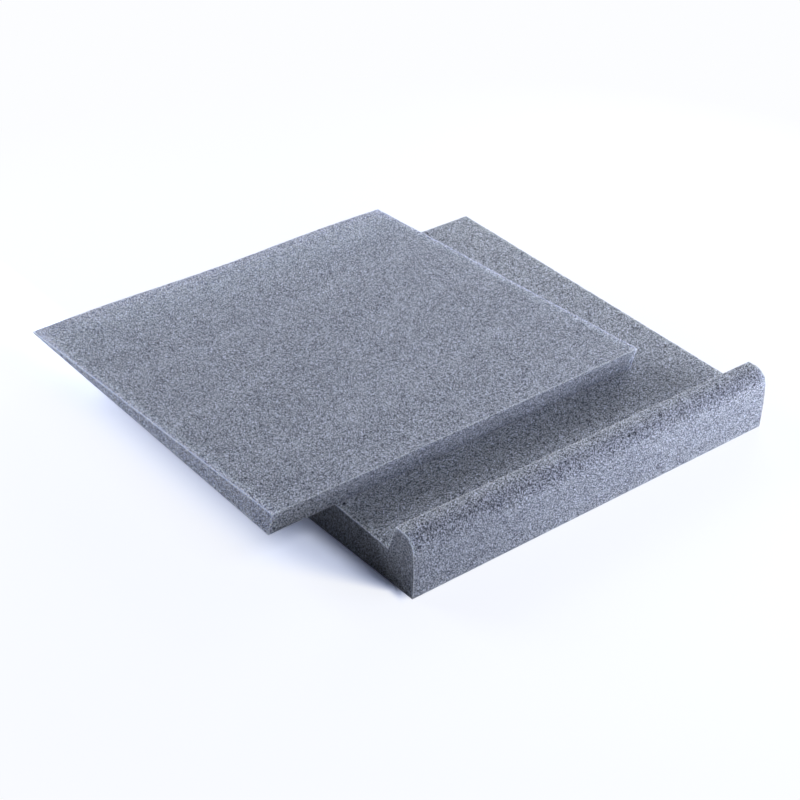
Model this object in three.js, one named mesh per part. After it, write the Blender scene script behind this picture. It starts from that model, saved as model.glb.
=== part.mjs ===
// Speaker isolation pad: a foam base with a rounded lip along its front edge and a sloped rest behind it,
// and a loose foam wedge that lies on the slope and levels the speaker.
// Millimetres. +X runs along the lip, +Y from the lip to the back, +Z up.
// The origin is the centre of the base's underside.

import * as THREE from 'three';

// Base, cut from one block of foam
const baseWidth = 300; // along the lip
const baseDepth = 305; // from the lip's front face to the back face
const footThickness = 23.5; // foam under the foot of the lip, where the slope starts
const slopeRise = 14.5; // what the slope gains from there to the back face
const lipRise = 19.5; // from the foot of the lip up to its top
const lipRounding = 10; // radius between the lip's front face and its top
const lipTopFlat = 6; // from the end of the rounding back to the ridge
const lipBackRun = 7; // how far the lip's inner face slants back from the ridge to its foot

// Wedge, cut from a second block to go between the lip and the back face
const wedgeExtraWidth = 2; // wider than the base by this much in all
const wedgeBackReveal = 9; // slope left bare at the back when the wedge is pushed against the lip
const wedgeBackThickness = 1.5; // at its thin end
const wedgeExtraTaper = THREE.MathUtils.degToRad(0.43); // steeper than the slope that it levels
const wedgeFrontLean = THREE.MathUtils.degToRad(12.4); // front face tips forward over the channel

// Where the wedge lies on the slope: pushed back from the lip, off to the left and turned a little
const wedgeSetback = 52.2; // from the foot of the lip up the slope, at the middle of its front edge
const wedgeLeftShift = 48.8;
const wedgeTurn = THREE.MathUtils.degToRad(0.72);
const restGap = 0.3; // between the slope and the wedge's underside

const roundingSteps = 12; // curve segments on the lip's rounding

const ridgeDepth = lipRounding + lipTopFlat;
const footDepth = ridgeDepth + lipBackRun;
const lipHeight = footThickness + lipRise;
const slopeRun = baseDepth - footDepth;
const slopeAngle = Math.atan2(slopeRise, slopeRun);
const slopeLength = Math.hypot(slopeRise, slopeRun);

// Side view of the base, with depth to the right and height up, from the front bottom edge
function baseOutline() {
  const roundingHeight = lipHeight - lipRounding;
  const outline = new THREE.Shape();
  outline.moveTo(0, 0);
  outline.lineTo(0, roundingHeight);
  outline.absarc(lipRounding, roundingHeight, lipRounding, Math.PI, Math.PI / 2, true);
  outline.lineTo(ridgeDepth, lipHeight);
  outline.lineTo(footDepth, footThickness);
  outline.lineTo(baseDepth, footThickness + slopeRise);
  outline.lineTo(baseDepth, 0);
  outline.closePath();
  return outline;
}

// Side view of the wedge, lying flat, from the front edge of its underside
function wedgeOutline() {
  const length = slopeLength - wedgeBackReveal;
  const taper = Math.tan(slopeAngle + wedgeExtraTaper);
  const lean = Math.tan(wedgeFrontLean);
  const frontThickness = (wedgeBackThickness + length * taper) / (1 - lean * taper);
  const outline = new THREE.Shape();
  outline.moveTo(0, 0);
  outline.lineTo(-frontThickness * lean, frontThickness);
  outline.lineTo(length, wedgeBackThickness);
  outline.lineTo(length, 0);
  outline.closePath();
  return outline;
}

// A side view drawn out along X, with its middle at x = 0
function cutAcross(outline, width) {
  const block = new THREE.ExtrudeGeometry(outline, {
    depth: width,
    bevelEnabled: false,
    curveSegments: roundingSteps,
  });
  block.translate(0, 0, -width / 2);
  const depthToY = new THREE.Vector3(0, 1, 0);
  const heightToZ = new THREE.Vector3(0, 0, 1);
  const widthToX = new THREE.Vector3(1, 0, 0);
  block.applyMatrix4(new THREE.Matrix4().makeBasis(depthToY, heightToZ, widthToX));
  return block;
}

function foam(name, colour) {
  return new THREE.MeshStandardMaterial({ name, color: colour, roughness: 0.95, metalness: 0 });
}

function makeBase() {
  const base = new THREE.Mesh(cutAcross(baseOutline(), baseWidth), foam('base foam', '#565962'));
  base.name = 'base_pad';
  base.position.y = -baseDepth / 2;
  return base;
}

function makeWedge() {
  const width = baseWidth + wedgeExtraWidth;
  const wedge = new THREE.Mesh(cutAcross(wedgeOutline(), width), foam('wedge foam', '#5f626c'));
  wedge.name = 'wedge_insert';
  wedge.position.set(-wedgeLeftShift, wedgeSetback, restGap);
  wedge.rotation.z = wedgeTurn;
  return wedge;
}

// The slope's own frame: it starts at the foot of the lip, with its Y up the slope
function makeSlope() {
  const slope = new THREE.Group();
  slope.position.set(0, footDepth - baseDepth / 2, footThickness);
  slope.rotation.x = slopeAngle;
  return slope;
}

const pad = new THREE.Group();
const slope = makeSlope();
slope.add(makeWedge());
pad.add(makeBase(), slope);

export default pad;
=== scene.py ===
import math

import bpy
from mathutils import Matrix, Quaternion, Vector


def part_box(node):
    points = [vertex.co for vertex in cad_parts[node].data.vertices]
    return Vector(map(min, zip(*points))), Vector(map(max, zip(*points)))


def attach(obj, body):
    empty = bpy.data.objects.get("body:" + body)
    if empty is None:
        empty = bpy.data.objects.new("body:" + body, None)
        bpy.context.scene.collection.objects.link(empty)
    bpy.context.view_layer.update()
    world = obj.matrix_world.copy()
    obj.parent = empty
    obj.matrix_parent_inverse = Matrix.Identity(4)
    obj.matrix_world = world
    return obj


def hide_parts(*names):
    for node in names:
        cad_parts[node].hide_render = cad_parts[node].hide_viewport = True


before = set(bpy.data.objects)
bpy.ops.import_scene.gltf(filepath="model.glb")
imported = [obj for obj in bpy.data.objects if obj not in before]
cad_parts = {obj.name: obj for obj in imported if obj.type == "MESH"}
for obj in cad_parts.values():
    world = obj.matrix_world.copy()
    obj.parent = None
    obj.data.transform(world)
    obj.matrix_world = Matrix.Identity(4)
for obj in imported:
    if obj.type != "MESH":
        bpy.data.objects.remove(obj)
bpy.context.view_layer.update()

# Speaker isolation pad: a foam base with a rounded lip and a sloped rest, and a loose foam wedge on it.
# Metres, +X along the lip, +Y from the lip to the back, +Z up.


# Node helpers

def put(tree, kind, feeds=None, **settings):
    # Adds a node, sets it up, and links or sets its inputs
    node = tree.nodes.new(kind)
    for name, value in settings.items():
        setattr(node, name, value)
    for key, value in (feeds or {}).items():
        if isinstance(value, bpy.types.NodeSocket):
            tree.links.new(value, node.inputs[key])
        else:
            node.inputs[key].default_value = value
    return node


def calc(tree, operation, *terms, clamp=False):
    node = put(tree, "ShaderNodeMath", dict(enumerate(terms)), operation=operation, use_clamp=clamp)
    return node.outputs[0]


def product(tree, result, *factors):
    for factor in factors:
        result = calc(tree, "MULTIPLY", result, factor)
    return result


def vectorCalc(tree, operation, *terms):
    node = put(tree, "ShaderNodeVectorMath", dict(enumerate(terms)), operation=operation)
    return node.outputs["Value" if operation in {"LENGTH", "DOT_PRODUCT"} else "Vector"]


def scaled(tree, vector, factor):
    return put(tree, "ShaderNodeVectorMath", {0: vector, "Scale": factor}, operation="SCALE").outputs[0]


def combine(tree, x, y, z):
    return put(tree, "ShaderNodeCombineXYZ", {0: x, 1: y, 2: z}).outputs[0]


def separate(tree, vector):
    return put(tree, "ShaderNodeSeparateXYZ", {0: vector}).outputs


def remap(tree, value, low, high, toLow=0.0, toHigh=1.0, smooth=False):
    kind = "SMOOTHSTEP" if smooth else "LINEAR"
    feeds = {"Value": value, "From Min": low, "From Max": high, "To Min": toLow, "To Max": toHigh}
    return put(tree, "ShaderNodeMapRange", feeds, interpolation_type=kind).outputs[0]


def opaque(colour):
    return (*colour, 1.0)


def mixColour(tree, factor, first, second):
    return put(tree, "ShaderNodeMix", {0: factor, 6: first, 7: second}, data_type="RGBA").outputs[2]


def newTree(name, kind, inputs, outputs):
    tree = bpy.data.node_groups.new(name, kind)
    for direction, sockets in (("INPUT", inputs), ("OUTPUT", outputs)):
        for label, socketType in sockets:
            tree.interface.new_socket(name=label, in_out=direction, socket_type="NodeSocket" + socketType)
    return tree, tree.nodes.new("NodeGroupInput").outputs, tree.nodes.new("NodeGroupOutput").inputs


# A cut block of foam, as both pieces are

cutLook = {
    "sharpAngle": math.radians(35),   # an edge that is sharper than this is a cut edge
    "shadeAngle": math.radians(40),   # and across one like this the shading breaks
    "tornSize": 0.005,                # torn cells along the cut edges
    "tornDetail": 4.0,
    "tornReach": 0.0012,
    "topShare": 0.999,                # what lies above this share of the height is the top face
}


def startTree(name, names):
    inputs = [(label, "Float") for label in names] + [("Material", "Material")]
    return newTree(name, "GeometryNodeTree", inputs, [("Geometry", "Geometry")])


def blockCells(tree, across, along, up):
    # A closed cube of cells; its corners run from 0 to 1 on each axis
    counts = [calc(tree, "ADD", cells, 1.0) for cells in (across, along, up)]
    cube = put(tree, "GeometryNodeMeshCube", {
        "Size": (1.0, 1.0, 1.0), "Vertices X": counts[0], "Vertices Y": counts[1], "Vertices Z": counts[2]})
    return cube.outputs["Mesh"], separate(tree, vectorCalc(tree, "ADD", position(tree), (0.5, 0.5, 0.5)))


def position(tree):
    return put(tree, "GeometryNodeInputPosition").outputs[0]


def moveTo(tree, geometry, place):
    return put(tree, "GeometryNodeSetPosition", {"Geometry": geometry, "Position": place}).outputs[0]


def moveBy(tree, geometry, offset):
    return put(tree, "GeometryNodeSetPosition", {"Geometry": geometry, "Offset": offset}).outputs[0]


def keep(tree, geometry, name, value):
    # Stores a value on the points, for the shader or for a later step
    feeds = {"Geometry": geometry, "Name": name, "Value": value}
    return put(tree, "GeometryNodeStoreNamedAttribute", feeds, data_type="FLOAT", domain="POINT").outputs[0]


def markCutEdges(tree, geometry):
    # Distance of each point to the nearest sharp edge
    angle = put(tree, "GeometryNodeInputMeshEdgeAngle").outputs["Unsigned Angle"]
    feeds = {"Geometry": geometry, "Selection": calc(tree, "GREATER_THAN", angle, cutLook["sharpAngle"])}
    edges = put(tree, "GeometryNodeSeparateGeometry", feeds, domain="EDGE").outputs[0]
    near = put(tree, "GeometryNodeProximity", {0: edges}, target_element="EDGES")
    return keep(tree, geometry, "edgeDistance", near.outputs["Distance"])


def noiseVector(tree, size, seed, detail=2.0):
    # Runs from -1 to 1 on each axis
    feeds = {"Vector": position(tree), "W": seed, "Scale": calc(tree, "DIVIDE", 1.0, size), "Detail": detail}
    noise = put(tree, "ShaderNodeTexNoise", feeds, noise_dimensions="4D").outputs["Color"]
    return scaled(tree, vectorCalc(tree, "SUBTRACT", noise, (0.5, 0.5, 0.5)), 2.0)


def unevenFaces(tree, given):
    # Slow waves everywhere, and torn cells beside the cut edges
    slow = scaled(tree, noiseVector(tree, given["Wave Length"], given["Seed"]), given["Wave"])
    stored = put(tree, "GeometryNodeInputNamedAttribute", {"Name": "edgeDistance"}, data_type="FLOAT")
    nearness = calc(tree, "DIVIDE", stored.outputs[0], cutLook["tornReach"])
    falloff = calc(tree, "EXPONENT", product(tree, nearness, nearness, -1.0))
    noise = noiseVector(tree, cutLook["tornSize"], given["Seed"], cutLook["tornDetail"])
    return vectorCalc(tree, "ADD", slow, scaled(tree, noise, product(tree, given["Ragged"], falloff)))


def fading(tree, distance, reach, strength):
    falloff = calc(tree, "EXPONENT", calc(tree, "DIVIDE", distance, product(tree, reach, -1.0)))
    return product(tree, falloff, strength)


def sideGlow(tree, share, given):
    # Painted light at the left and right sides, standing in for light that comes through the foam
    fromMiddle = calc(tree, "ABSOLUTE", calc(tree, "SUBTRACT", share["X"], 0.5))
    fromSide = product(tree, calc(tree, "SUBTRACT", 0.5, fromMiddle), given["Width"])
    return fading(tree, fromSide, given["Side Glow Reach"], given["Side Glow"])


def finishTree(tree, geometry, material, result):
    smooth = put(tree, "GeometryNodeSetShadeSmooth", {"Geometry": geometry, "Shade Smooth": True}).outputs[0]
    real = put(tree, "GeometryNodeRealizeInstances", {"Geometry": smooth}).outputs[0]
    dressed = put(tree, "GeometryNodeSetMaterial", {"Geometry": real, "Material": material}).outputs[0]
    tree.links.new(dressed, result["Geometry"])


def cutBlock(name, tree, values, material, edgeRounding, placing):
    # Runs the tree on an empty mesh, rounds the cut edges, and keeps the result as a plain mesh in its place
    blank = bpy.data.objects.new(name + "Source", bpy.data.meshes.new(name + "Source"))
    bpy.context.scene.collection.objects.link(blank)
    shape = blank.modifiers.new("shape", "NODES")
    shape.node_group = tree
    for item in tree.interface.items_tree:
        if item.in_out == "INPUT":
            shape[item.identifier] = material if item.name == "Material" else float(values[item.name])
    soften = blank.modifiers.new("edges", "BEVEL")
    soften.limit_method = "ANGLE"
    soften.angle_limit = cutLook["sharpAngle"]
    soften.width = edgeRounding
    soften.segments = 2
    evaluated = blank.evaluated_get(bpy.context.evaluated_depsgraph_get())
    mesh = bpy.data.meshes.new_from_object(evaluated)
    mesh.name = name
    mesh.transform(placing)
    mesh.set_sharp_from_angle(angle=cutLook["shadeAngle"])
    piece = bpy.data.objects.new(name, mesh)
    bpy.context.scene.collection.objects.link(piece)
    source = blank.data
    bpy.data.objects.remove(blank)
    bpy.data.meshes.remove(source)
    print(name, len(mesh.polygons), "faces")
    return piece


# Base

baseLook = {
    "footThickness": 0.0235,      # foam under the foot of the lip
    "slopeRise": 0.0145,          # from there to the back face
    "lipRounding": 0.010,
    "lipTopFlat": 0.006,
    "lipBackRun": 0.007,          # the lip's inner face slants back by this much
    "cellsAcross": 180,
    "cellsOnRounding": 11,
    "cellsOnFlat": 4,
    "cellsOnInnerFace": 12,
    "cellsOnSlope": 172,
    "cellsUp": 22,
    "bendPaintedShade": 0.17,            # painted shade: the rounding is drawn darker than the faces that it joins
    "sideGlow": 0.5,              # painted light along the upper side edges, for light that comes through the foam
    "sideGlowReach": 0.0015,
    "frontBow": 0.0008,           # the front face bulges
    "frontBowReach": 0.008,       # and what lies this far behind it doesn't
    "wave": 0.0003,               # slow unevenness of the cut faces
    "waveLength": 0.06,
    "ragged": 0.0003,             # torn cells along the cut edges
    "evenBelow": 0.006,           # the unevenness fades out towards the underside
    "edgeRounding": 0.0004,
    "seed": 3.0,
}


def makeBaseTree(names):
    tree, given, result = startTree("foamBase", names)
    # Cells along the side view: the rounding, the lip's top, its inner face and the slope, one after another
    ends = [given["Cells On Rounding"]]
    for name in ("Cells On Flat", "Cells On Inner Face", "Cells On Slope"):
        ends.append(calc(tree, "ADD", ends[-1], given[name]))
    block, share = blockCells(tree, given["Cells Across"], ends[-1], given["Cells Up"])
    # How far along each of them a point lies, from 0 to 1
    cell = product(tree, share["Y"], ends[-1])
    stretches = zip([0.0, *ends[:-1]], ends)
    onRounding, onFlat, onInner, onSlope = [remap(tree, cell, start, end) for start, end in stretches]
    angle = product(tree, onRounding, math.pi / 2)
    ridge = calc(tree, "ADD", given["Lip Rounding"], given["Lip Top Flat"])
    foot = calc(tree, "ADD", ridge, given["Lip Back Run"])
    slopeRun = calc(tree, "SUBTRACT", given["Depth"], foot)
    lipRise = calc(tree, "SUBTRACT", given["Lip Height"], given["Foot Thickness"])
    depth = product(tree, given["Lip Rounding"], calc(tree, "SUBTRACT", 1.0, calc(tree, "COSINE", angle)))
    runs = ((onFlat, given["Lip Top Flat"]), (onInner, given["Lip Back Run"]), (onSlope, slopeRun))
    for done, run in runs:
        depth = calc(tree, "MULTIPLY_ADD", done, run, depth)
    roundingStart = calc(tree, "SUBTRACT", given["Lip Height"], given["Lip Rounding"])
    top = calc(tree, "MULTIPLY_ADD", given["Lip Rounding"], calc(tree, "SINE", angle), roundingStart)
    top = calc(tree, "SUBTRACT", top, product(tree, onInner, lipRise))
    top = calc(tree, "MULTIPLY_ADD", onSlope, given["Slope Rise"], top)
    halfDepth = calc(tree, "DIVIDE", given["Depth"], 2.0)
    x = product(tree, calc(tree, "SUBTRACT", share["X"], 0.5), given["Width"])
    y = calc(tree, "SUBTRACT", depth, halfDepth)
    z = product(tree, share["Z"], top)
    # Painted shade and painted light are on the top face only
    onTop = calc(tree, "GREATER_THAN", share["Z"], cutLook["topShare"])
    # painted shade on the rounding, darkest at its middle
    bend = product(tree, calc(tree, "SINE", product(tree, onRounding, math.pi)), given["Bend Painted Shade"])
    block = keep(tree, block, "shade", product(tree, bend, onTop))
    block = keep(tree, block, "glow", product(tree, sideGlow(tree, share, given), onTop))
    shaped = markCutEdges(tree, moveTo(tree, block, combine(tree, x, y, z)))
    # The front face bows out, the underside stays flat on the floor
    place = separate(tree, position(tree))
    behindFront = calc(tree, "ADD", place["Y"], halfDepth)
    frontness = remap(tree, behindFront, given["Front Bow Reach"], 0.0, smooth=True)
    bulge = calc(tree, "SINE", product(tree, calc(tree, "DIVIDE", place["Z"], given["Lip Height"]), math.pi))
    bow = product(tree, frontness, bulge, product(tree, given["Front Bow"], -1.0))
    lifted = remap(tree, place["Z"], 0.0, given["Even Below"], smooth=True)
    uneven = scaled(tree, unevenFaces(tree, given), lifted)
    offset = vectorCalc(tree, "ADD", uneven, combine(tree, 0.0, bow, 0.0))
    finishTree(tree, moveBy(tree, shaped, offset), given["Material"], result)
    return tree


def makeBase(material):
    low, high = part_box("base_pad")
    look = baseLook
    values = {
        "Width": high.x - low.x, "Depth": high.y - low.y, "Lip Height": high.z - low.z,
        "Foot Thickness": look["footThickness"], "Slope Rise": look["slopeRise"],
        "Lip Rounding": look["lipRounding"], "Lip Top Flat": look["lipTopFlat"],
        "Lip Back Run": look["lipBackRun"], "Cells Across": look["cellsAcross"],
        "Cells On Rounding": look["cellsOnRounding"], "Cells On Flat": look["cellsOnFlat"],
        "Cells On Inner Face": look["cellsOnInnerFace"], "Cells On Slope": look["cellsOnSlope"],
        "Cells Up": look["cellsUp"], "Bend Painted Shade": look["bendPaintedShade"], "Side Glow": look["sideGlow"],
        "Side Glow Reach": look["sideGlowReach"], "Front Bow": look["frontBow"],
        "Front Bow Reach": look["frontBowReach"], "Wave": look["wave"], "Wave Length": look["waveLength"],
        "Ragged": look["ragged"], "Even Below": look["evenBelow"], "Seed": look["seed"],
    }
    tree = makeBaseTree(values)
    piece = cutBlock("foam_base", tree, values, material, look["edgeRounding"], Matrix.Identity(4))
    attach(piece, "root")
    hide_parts("base_pad")


# Wedge

wedgeLook = {
    "extraWidth": 0.002,          # wider than the base
    "backReveal": 0.009,          # shorter than the slope
    "backThickness": 0.0015,
    "extraTaper": math.radians(0.43),
    "frontLean": math.radians(12.4),
    "setback": 0.0522,            # where it lies on the slope
    "leftShift": 0.0488,
    "turn": math.radians(0.72),
    "restGap": 0.0003,
    "cellsAcross": 190,
    "cellsAlong": 172,
    "cellsUp": 9,
    "wave": 0.0003,
    "waveLength": 0.07,
    "ragged": 0.0003,
    "evenBelow": 0.002,
    "ripple": -0.0008,            # the thin end is limp and wavy
    "rippleLength": 0.2,
    "rippleStart": 0.8,           # from this share of the length on
    "sideGlow": 0.9,              # painted light at the sides and at the thin end, for light that comes through the foam
    "sideGlowReach": 0.0025,
    "backGlow": 0.44,
    "backGlowReach": 0.02,
    "edgeRounding": 0.0004,
    "seed": 11.0,
}


def makeWedgeTree(names):
    tree, given, result = startTree("foamWedge", names)
    block, share = blockCells(tree, given["Cells Across"], given["Cells Along"], given["Cells Up"])
    x = product(tree, calc(tree, "SUBTRACT", share["X"], 0.5), given["Width"])
    thickness = remap(tree, share["Y"], 0.0, 1.0, given["Front Thickness"], given["Back Thickness"])
    z = product(tree, share["Z"], thickness)
    leaning = product(tree, calc(tree, "TANGENT", given["Front Lean"]), given["Front Thickness"])
    forward = product(tree, leaning, share["Z"], calc(tree, "SUBTRACT", share["Y"], 1.0))
    y = calc(tree, "MULTIPLY_ADD", share["Y"], given["Length"], forward)
    fromBack = product(tree, calc(tree, "SUBTRACT", 1.0, share["Y"]), given["Length"])
    # painted light at the thin end
    backGlow = fading(tree, fromBack, given["Back Glow Reach"], given["Back Glow"])
    block = keep(tree, block, "glow", calc(tree, "ADD", sideGlow(tree, share, given), backGlow))
    shaped = markCutEdges(tree, moveTo(tree, block, combine(tree, x, y, z)))
    # The underside stays flat on the slope, and the thin end ripples where it hangs over
    place = separate(tree, position(tree))
    raised = remap(tree, place["Z"], 0.0, given["Even Below"], smooth=True)
    along = calc(tree, "DIVIDE", place["Y"], given["Length"])
    limp = remap(tree, along, given["Ripple Start"], 1.0, smooth=True)
    turns = product(tree, calc(tree, "DIVIDE", place["X"], given["Ripple Length"]), 2.0 * math.pi)
    ripple = product(tree, calc(tree, "COSINE", turns), given["Ripple"], limp)
    uneven = scaled(tree, unevenFaces(tree, given), raised)
    offset = vectorCalc(tree, "ADD", uneven, combine(tree, 0.0, 0.0, ripple))
    finishTree(tree, moveBy(tree, shaped, offset), given["Material"], result)
    return tree


def makeWedge(material):
    low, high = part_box("base_pad")
    look = wedgeLook
    footDepth = baseLook["lipRounding"] + baseLook["lipTopFlat"] + baseLook["lipBackRun"]
    slopeRun = (high.y - low.y) - footDepth
    slopeAngle = math.atan2(baseLook["slopeRise"], slopeRun)
    length = math.hypot(baseLook["slopeRise"], slopeRun) - look["backReveal"]
    taper = math.tan(slopeAngle + look["extraTaper"])
    lean = math.tan(look["frontLean"])
    frontThickness = (look["backThickness"] + length * taper) / (1 - lean * taper)
    values = {
        "Width": high.x - low.x + look["extraWidth"], "Length": length, "Front Thickness": frontThickness,
        "Back Thickness": look["backThickness"], "Front Lean": look["frontLean"],
        "Cells Across": look["cellsAcross"], "Cells Along": look["cellsAlong"], "Cells Up": look["cellsUp"],
        "Wave": look["wave"], "Wave Length": look["waveLength"], "Ragged": look["ragged"],
        "Even Below": look["evenBelow"], "Ripple": look["ripple"], "Ripple Length": look["rippleLength"],
        "Ripple Start": look["rippleStart"], "Side Glow": look["sideGlow"],
        "Side Glow Reach": look["sideGlowReach"], "Back Glow": look["backGlow"],
        "Back Glow Reach": look["backGlowReach"], "Seed": look["seed"],
    }
    slopeTurn = Matrix.Rotation(slopeAngle, 4, "X")
    slope = Matrix.Translation((0, low.y + footDepth, baseLook["footThickness"])) @ slopeTurn
    lyingTurn = Matrix.Rotation(look["turn"], 4, "Z")
    lying = Matrix.Translation((-look["leftShift"], look["setback"], look["restGap"])) @ lyingTurn
    tree = makeWedgeTree(values)
    piece = cutBlock("foam_wedge", tree, values, material, look["edgeRounding"], slope @ lying)
    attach(piece, "root")
    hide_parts("wedge_insert")


# Foam finish, shared by both pieces

foamLook = {
    "cellSize": 0.00048,
    # The grain's contrast and the share of light cells, on level faces and on upright ones; on the base they
    # differ as painted light, the level faces drawn with starker glints
    "base": {"contrast": (6.0, 1.75), "level": (0.22, 0.5), "seed": 1.0},
    "wedge": {"contrast": (2.7, 2.7), "level": (0.45, 0.45), "seed": 2.0},
    # pit: painted shade inside the open pores; glint: the lightest cells, pale walls with painted glints
    "pit": (0.010, 0.012, 0.022),
    "body": (0.162, 0.184, 0.27),
    "glint": (0.74, 0.80, 1.0),
    "fineCells": 1.9,             # how many of the finer cells go into one, side by side
    "fineShare": 0.7,             # what they add to the tone
    "wallShare": 0.15,            # and what the cell walls add
    "wallReach": (0.25, 0.03),    # in cell sizes, from where a wall starts to where it is full
    "wallMean": 0.35,             # how much of a face the walls take
    "cellRelief": 0.8,            # how far one cell stands above another, to its wall's height
    "edge": (0.75, 0.80, 0.95),   # painted highlight along the cut edges, where cut cells catch the light
    "edgeHighlightShare": 0.45,
    "edgeWidth": 0.0006,
    "edgePatches": 400.0,         # to the metre
    "edgeWidths": (0.4, 1.2),     # thinnest and widest, to that width
    # tint of the painted light at the sides and the thin end
    "glowTint": (0.8, 0.98, 1.6),
    "bump": 0.6,
    "bumpDepth": 0.6,             # in cell sizes
    "roughness": 0.95,
    "specular": 0.1,
    "scatter": 0.8,
    "scatterDepth": 0.003,
}


def voronoi(tree, vector, scale, feature="F1"):
    return put(tree, "ShaderNodeTexVoronoi", {"Vector": vector, "Scale": scale}, feature=feature).outputs


def cellChance(tree, cells):
    # A value between 0 and 1 for each cell, mostly near the middle
    return vectorCalc(tree, "DOT_PRODUCT", cells["Color"], (0.4, 0.3, 0.3))


def makeGrainGroup(look):
    # Open cells cut through: each has its own tone, its walls lighter and its pit darker, as painted light on
    # the walls and painted shade in the open pores
    names = ("Cell Size", "Contrast", "Level", "Seed")
    inputs = [("Vector", "Vector")] + [(name, "Float") for name in names]
    outputs = [("Tone", "Float"), ("Height", "Float")]
    tree, given, result = newTree("foamGrain", "ShaderNodeTree", inputs, outputs)
    scale = calc(tree, "DIVIDE", 1.0, given["Cell Size"])
    moved = vectorCalc(tree, "ADD", given["Vector"], combine(tree, given["Seed"], 0.0, 0.0))
    chance = cellChance(tree, voronoi(tree, moved, scale))
    fineChance = cellChance(tree, voronoi(tree, moved, product(tree, scale, look["fineCells"])))
    walls = voronoi(tree, moved, scale, "DISTANCE_TO_EDGE")
    wall = remap(tree, walls["Distance"], *look["wallReach"], smooth=True)
    tone = calc(tree, "SUBTRACT", chance, 0.5)
    tone = calc(tree, "MULTIPLY_ADD", calc(tree, "SUBTRACT", fineChance, 0.5), look["fineShare"], tone)
    tone = calc(tree, "MULTIPLY_ADD", calc(tree, "SUBTRACT", wall, look["wallMean"]), look["wallShare"], tone)
    tree.links.new(calc(tree, "MULTIPLY_ADD", tone, given["Contrast"], given["Level"]), result["Tone"])
    tree.links.new(calc(tree, "MULTIPLY_ADD", chance, look["cellRelief"], wall), result["Height"])
    return tree


def makeEdgeGroup(look):
    # A patchy painted highlight along the cut edges
    inputs = [("Vector", "Vector"), ("Distance", "Float"), ("Width", "Float")]
    tree, given, result = newTree("cutEdgeHighlight", "ShaderNodeTree", inputs, [("Mask", "Float")])
    feeds = {"Vector": given["Vector"], "Scale": look["edgePatches"], "Detail": 3.0}
    patchy = put(tree, "ShaderNodeTexNoise", feeds).outputs["Fac"]
    width = product(tree, given["Width"], remap(tree, patchy, 0.25, 0.7, *look["edgeWidths"]))
    near = calc(tree, "DIVIDE", given["Distance"], width)
    tree.links.new(calc(tree, "EXPONENT", product(tree, near, near, -1.0)), result["Mask"])
    return tree


def makeFoam(name, grainGroup, edgeGroup, look, grainLook):
    material = bpy.data.materials.new(name)
    material.use_nodes = True
    tree = material.node_tree
    shader = tree.nodes["Principled BSDF"]
    place = put(tree, "ShaderNodeTexCoord").outputs
    # painted light: the base's grain changes with the way a face points
    flatness = calc(tree, "ABSOLUTE", separate(tree, place["Normal"])["Z"])
    contrast, level = [
        remap(tree, flatness, 0.0, 1.0, upright, flat)
        for flat, upright in (grainLook["contrast"], grainLook["level"])]
    grain = put(tree, "ShaderNodeGroup", {
        "Vector": place["Object"], "Cell Size": look["cellSize"], "Contrast": contrast, "Level": level,
        "Seed": grainLook["seed"]}, node_tree=grainGroup).outputs
    ramp = put(tree, "ShaderNodeValToRGB", {0: grain["Tone"]})
    stops = ramp.color_ramp.elements
    stops[0].color = opaque(look["pit"])
    stops[1].color = opaque(look["glint"])
    stops.new(0.5).color = opaque(look["body"])
    distance = put(tree, "ShaderNodeAttribute", attribute_name="edgeDistance").outputs["Fac"]
    feeds = {"Vector": place["Object"], "Distance": distance, "Width": look["edgeWidth"]}
    edge = put(tree, "ShaderNodeGroup", feeds, node_tree=edgeGroup).outputs["Mask"]
    # painted highlight mixed in along the cut edges
    colour = mixColour(tree, product(tree, edge, look["edgeHighlightShare"]), ramp.outputs[0], opaque(look["edge"]))
    # The mesh holds painted light at the sides and the thin end, for light that comes through the foam, and
    # painted shade on the bend
    glow = put(tree, "ShaderNodeAttribute", attribute_name="glow").outputs["Fac"]
    shade = put(tree, "ShaderNodeAttribute", attribute_name="shade").outputs["Fac"]
    glows = combine(tree, glow, glow, glow)
    lift = vectorCalc(tree, "MULTIPLY_ADD", look["glowTint"], glows, (1.0, 1.0, 1.0))
    lit = vectorCalc(tree, "MULTIPLY", colour, lift)
    tree.links.new(scaled(tree, lit, calc(tree, "SUBTRACT", 1.0, shade)), shader.inputs["Base Color"])
    shader.inputs["Roughness"].default_value = look["roughness"]
    shader.inputs["Specular IOR Level"].default_value = look["specular"]
    shader.inputs["Subsurface Weight"].default_value = look["scatter"]
    shader.inputs["Subsurface Radius"].default_value = (1.0, 1.0, 1.0)
    shader.inputs["Subsurface Scale"].default_value = look["scatterDepth"]
    depth = look["cellSize"] * look["bumpDepth"]
    feeds = {"Strength": look["bump"], "Distance": depth, "Height": grain["Height"]}
    tree.links.new(put(tree, "ShaderNodeBump", feeds).outputs[0], shader.inputs["Normal"])
    return material


# Camera

cameraView = {
    "azimuth": math.radians(-38.86),
    "elevation": math.radians(32.16),
    "roll": math.radians(0.39),
    "distance": 1.2179,
    "target": (-0.0194, 0.0223, 0.0),
    "lens": 79.89,
}


def makeCamera(look):
    azimuth, elevation = look["azimuth"], look["elevation"]
    level = math.cos(elevation)
    back = Vector((math.sin(azimuth) * level, -math.cos(azimuth) * level, math.sin(elevation)))
    data = bpy.data.cameras.new("camera")
    data.lens = look["lens"]
    data.sensor_width = 36.0
    data.clip_start = 0.05
    data.clip_end = 50.0
    camera = bpy.data.objects.new("camera", data)
    camera.location = Vector(look["target"]) + back * look["distance"]
    camera.rotation_mode = "QUATERNION"
    camera.rotation_quaternion = back.to_track_quat("Z", "Y") @ Quaternion((0, 0, 1), look["roll"])
    bpy.context.scene.collection.objects.link(camera)
    bpy.context.scene.camera = camera


# Floor, backdrop and lamps

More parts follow.
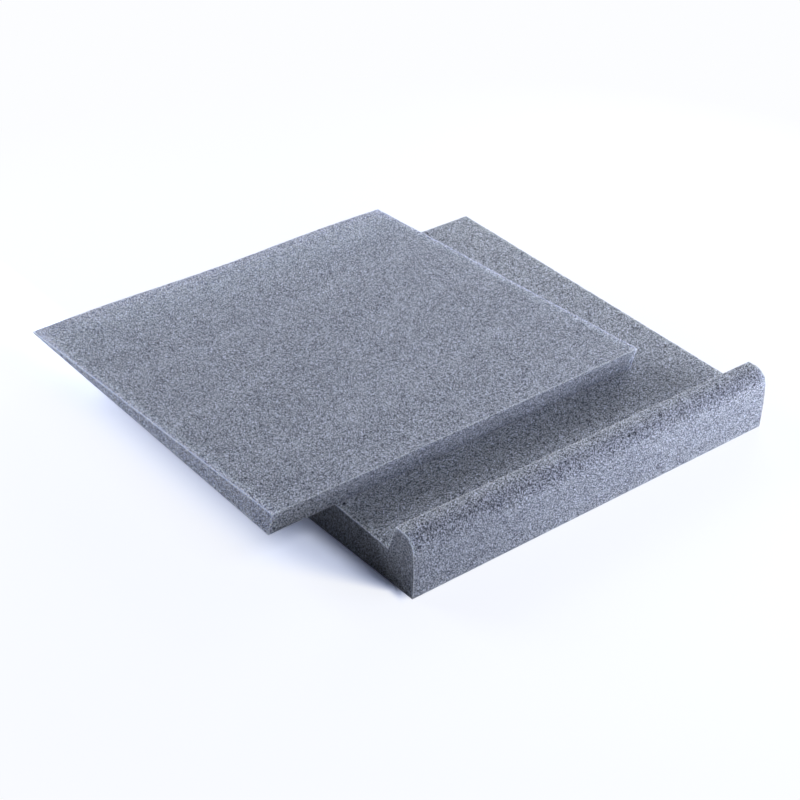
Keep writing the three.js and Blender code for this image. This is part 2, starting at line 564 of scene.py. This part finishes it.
studio = {
    "floorHalf": 8.0,
    "floorHeight": -0.0003,
    "floorColour": (1.72, 1.82, 2.12),      # as the camera sees it, where lamps light it
    "floorWhite": (0.975, 0.983, 1.0),      # paper out of the pad's shade
    "floorPaintedShade": (0.5, 0.62, 1.0),         # painted bluish fill in the shade beside the pad
    "whiteShare": (0.05, 0.9),              # beside the base's left end, and away from it
    "whiteReach": (0.008, 0.062),           # how far the painted shadow takes to fade to the left, at the front and further back
    "whiteReachDepths": (0.015, 0.085),     # where those two are, behind the base's front face
    "whiteMargin": 0.015,                   # how far it takes to the right and to the front
    "allWhite": (0.25, 0.6),                # how far from the middle the rest of the white comes in
    "bounceColour": (0.8, 0.8, 0.8),        # as it lights the foam
    "bouncePaintedShade": (0.28, 0.28, 0.28),      # painted shade: the same, darker in the shade to the left
    "bounceReach": 0.2,
    "bounceBlend": 0.01,
    "backdropColour": (0.975, 0.983, 1.0),
    "lampColour": (0.97, 0.98, 1.0),
    "lamps": {
        # name: where it stands, what it faces, its width and height, and its power
        "backLeft": ((-0.535, 0.926, 0.545), (0, 0, 0), (0.6, 0.6), 11.8),
        "right": ((0.576, 0.217, 0.296), (0, 0, 0.02), (0.35, 0.35), 2.8),
        "front": ((0.285, -0.529, 0.108), (0, 0, 0.02), (0.35, 0.2), 2.1),
        "above": ((-0.02, -0.415, 0.461), (0, 0, 0.02), (0.2, 0.2), 0.92),
    },
}


def seenRays(tree):
    # The rays that meet the white background: from the camera, reflected and passed through
    path = put(tree, "ShaderNodeLightPath").outputs
    seen = calc(tree, "MAXIMUM", path["Is Camera Ray"], path["Is Glossy Ray"])
    return calc(tree, "MAXIMUM", seen, path["Is Transmission Ray"])


def paintedShadowFade(tree, look, place, leftward, forward):
    # Painted shadow: how far the paper is out of the shade beside the base's left end, as a share of plain
    # white
    depths = [-depth for depth in look["whiteReachDepths"]]
    reach = remap(tree, forward, *depths, *look["whiteReach"])
    margin = -look["whiteMargin"]
    away = remap(tree, leftward, 0.0, reach, smooth=True)
    away = calc(tree, "MAXIMUM", away, remap(tree, leftward, 0.0, margin, smooth=True))
    away = calc(tree, "MAXIMUM", away, remap(tree, forward, margin, 0.0, smooth=True))
    nearShare, farShare = look["whiteShare"]
    distance = vectorCalc(tree, "LENGTH", combine(tree, place["X"], place["Y"], 0.0))
    rest = remap(tree, distance, *look["allWhite"], 0.0, 1.0 - farShare)
    return calc(tree, "ADD", remap(tree, away, 0.0, 1.0, nearShare, farShare), rest, clamp=True)


def makeFloor(look):
    mesh = bpy.data.meshes.new("floor")
    half, height = look["floorHalf"], look["floorHeight"]
    corners = [(-half, -half, height), (half, -half, height), (half, half, height), (-half, half, height)]
    mesh.from_pydata(corners, [], [(0, 1, 2, 3)])
    material = bpy.data.materials.new("floorPaper")
    material.use_nodes = True
    tree = material.node_tree
    tree.nodes.clear()
    # How far a point of the paper lies to the left of the base, and in front of it
    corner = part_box("base_pad")[0]
    place = separate(tree, put(tree, "ShaderNodeTexCoord").outputs["Object"])
    leftward = calc(tree, "SUBTRACT", corner.x, place["X"])
    forward = calc(tree, "SUBTRACT", corner.y, place["Y"])
    # What the camera sees: white paper with a painted shadow beside the base's left end
    whiteness = paintedShadowFade(tree, look, place, leftward, forward)
    tint = mixColour(tree, whiteness, opaque(look["floorPaintedShade"]), opaque(look["floorWhite"]))
    lit = put(tree, "ShaderNodeBsdfDiffuse", {"Color": opaque(look["floorColour"])}).outputs[0]
    white = put(tree, "ShaderNodeEmission", {"Color": tint}).outputs[0]
    seen = put(tree, "ShaderNodeMixShader", {0: whiteness, 1: lit, 2: white}).outputs[0]
    # What lights the foam from below, darker to the left of the base as painted shade
    leftOfBase = remap(tree, leftward, -look["bounceBlend"], look["bounceBlend"])
    shaded = product(tree, leftOfBase, remap(tree, leftward, look["bounceReach"], 0.0))
    bounceColour = mixColour(tree, shaded, opaque(look["bounceColour"]), opaque(look["bouncePaintedShade"]))
    bounce = put(tree, "ShaderNodeBsdfDiffuse", {"Color": bounceColour}).outputs[0]
    mix = put(tree, "ShaderNodeMixShader", {0: seenRays(tree), 1: bounce, 2: seen}).outputs[0]
    put(tree, "ShaderNodeOutputMaterial", {"Surface": mix})
    mesh.materials.append(material)
    floor = bpy.data.objects.new("floor", mesh)
    bpy.context.scene.collection.objects.link(floor)


def makeSky(look):
    world = bpy.data.worlds.new("sky")
    world.use_nodes = True
    tree = world.node_tree
    tree.nodes.clear()
    # The backdrop is seen, but lights nothing
    feeds = {"Color": opaque(look["backdropColour"]), "Strength": seenRays(tree)}
    backdrop = put(tree, "ShaderNodeBackground", feeds).outputs[0]
    put(tree, "ShaderNodeOutputWorld", {"Surface": backdrop})
    bpy.context.scene.world = world


def makeLamps(look):
    for name, (place, aim, size, power) in look["lamps"].items():
        data = bpy.data.lights.new(name, "AREA")
        data.shape = "RECTANGLE"
        data.size, data.size_y = size
        data.energy = power
        data.color = look["lampColour"]
        lamp = bpy.data.objects.new(name, data)
        lamp.location = place
        lamp.visible_camera = False
        lamp.rotation_mode = "QUATERNION"
        lamp.rotation_quaternion = (Vector(place) - Vector(aim)).to_track_quat("Z", "Y")
        bpy.context.scene.collection.objects.link(lamp)


bpy.context.scene.view_settings.view_transform = "Standard"
makeCamera(cameraView)
print("camera set")
grainGroup = makeGrainGroup(foamLook)
edgeGroup = makeEdgeGroup(foamLook)
makeBase(makeFoam("baseFoam", grainGroup, edgeGroup, foamLook, foamLook["base"]))
makeWedge(makeFoam("wedgeFoam", grainGroup, edgeGroup, foamLook, foamLook["wedge"]))
print("pieces made")
makeFloor(studio)
makeSky(studio)
makeLamps(studio)
print("floor and light set")
